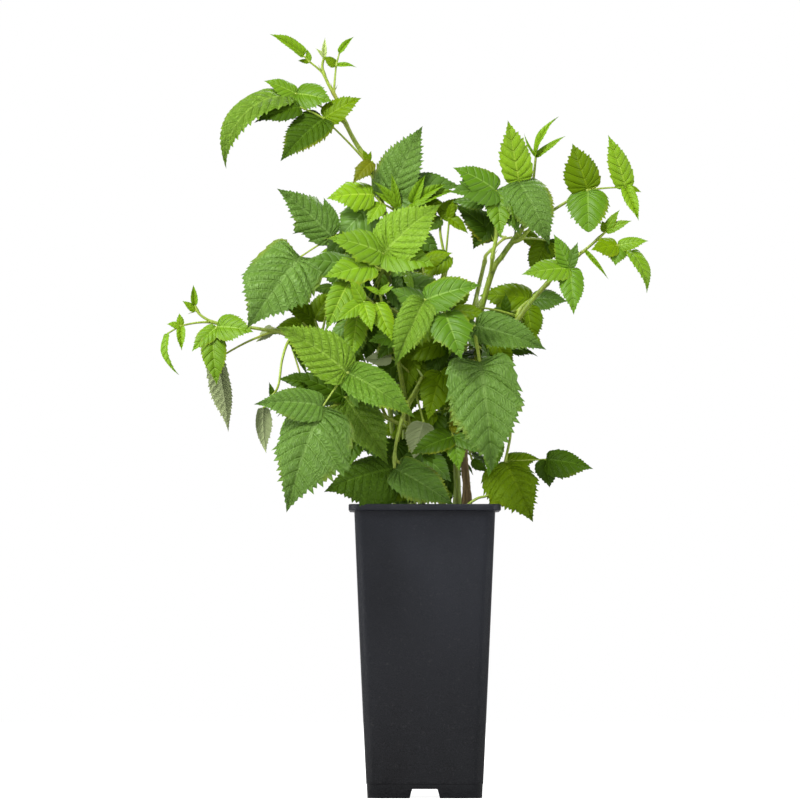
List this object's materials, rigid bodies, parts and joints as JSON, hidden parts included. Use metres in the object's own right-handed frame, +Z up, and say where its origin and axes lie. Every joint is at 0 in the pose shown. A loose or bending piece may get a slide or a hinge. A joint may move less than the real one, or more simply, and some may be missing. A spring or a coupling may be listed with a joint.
{
  "type": "raspberry cane in a pot",
  "caption": "Young raspberry plant with upright green canes, side shoots and toothed compound leaves, growing in a deep square nursery pot that stands on its flat underside.",
  "frame": {"origin": "middle of the whole plant's width and depth, on the level that the pot stands on", "axes": "+Z up the canes, -Y towards the front of the plant, +X to the right seen from the front; the pot's middle is at x 13.7 mm, y 0"},
  "size_m": [0.3678, 0.2817, 0.5826],
  "materials": {
    "pot_plastic": "matte, slightly grained, black-grey",
    "compost": "moist fibrous compost",
    "green_bark": "smooth green bark of young canes",
    "woody_bark": "dry grey-brown bark",
    "foliage": "satin green leaves"
  },
  "bodies": {
    "root": {"pot": "pot_plastic", "compost": "compost", "cane_tall": "green_bark", "cane_middle": "green_bark", "cane_front": "green_bark", "cane_right": "green_bark", "cane_woody": "woody_bark", "cane_back_left": "green_bark", "cane_back_right": "green_bark", "bough_left": "green_bark", "bough_right": "green_bark", "leaves_tall_tip": "foliage", "leaves_middle_top": "foliage", "leaves_centre_upper": "foliage", "leaves_upper_left": "foliage", "leaves_front_young": "foliage", "leaves_centre": "foliage", "leaves_middle_thin": "foliage", "leaves_left_shoot": "foliage", "leaves_low_left": "foliage", "leaves_low_inner": "foliage", "leaves_low_front": "foliage", "leaves_low_middle": "foliage", "leaves_low_right": "foliage", "leaves_rim_right": "foliage", "leaves_right_far": "foliage", "leaves_right_inner": "foliage", "leaves_right_top": "foliage", "leaves_right_neck": "foliage", "leaves_right_side": "foliage", "leaves_left_shade": "foliage", "leaves_inner_left": "foliage", "leaves_inner_right": "foliage", "leaves_inner_top": "foliage", "leaves_back_left_top": "foliage", "leaves_back_right_top": "foliage", "leaves_back_left_low": "foliage", "leaves_back_right_low": "foliage", "leaves_back_middle": "foliage", "leaves_back_rim": "foliage"}
  },
  "joints": []
}
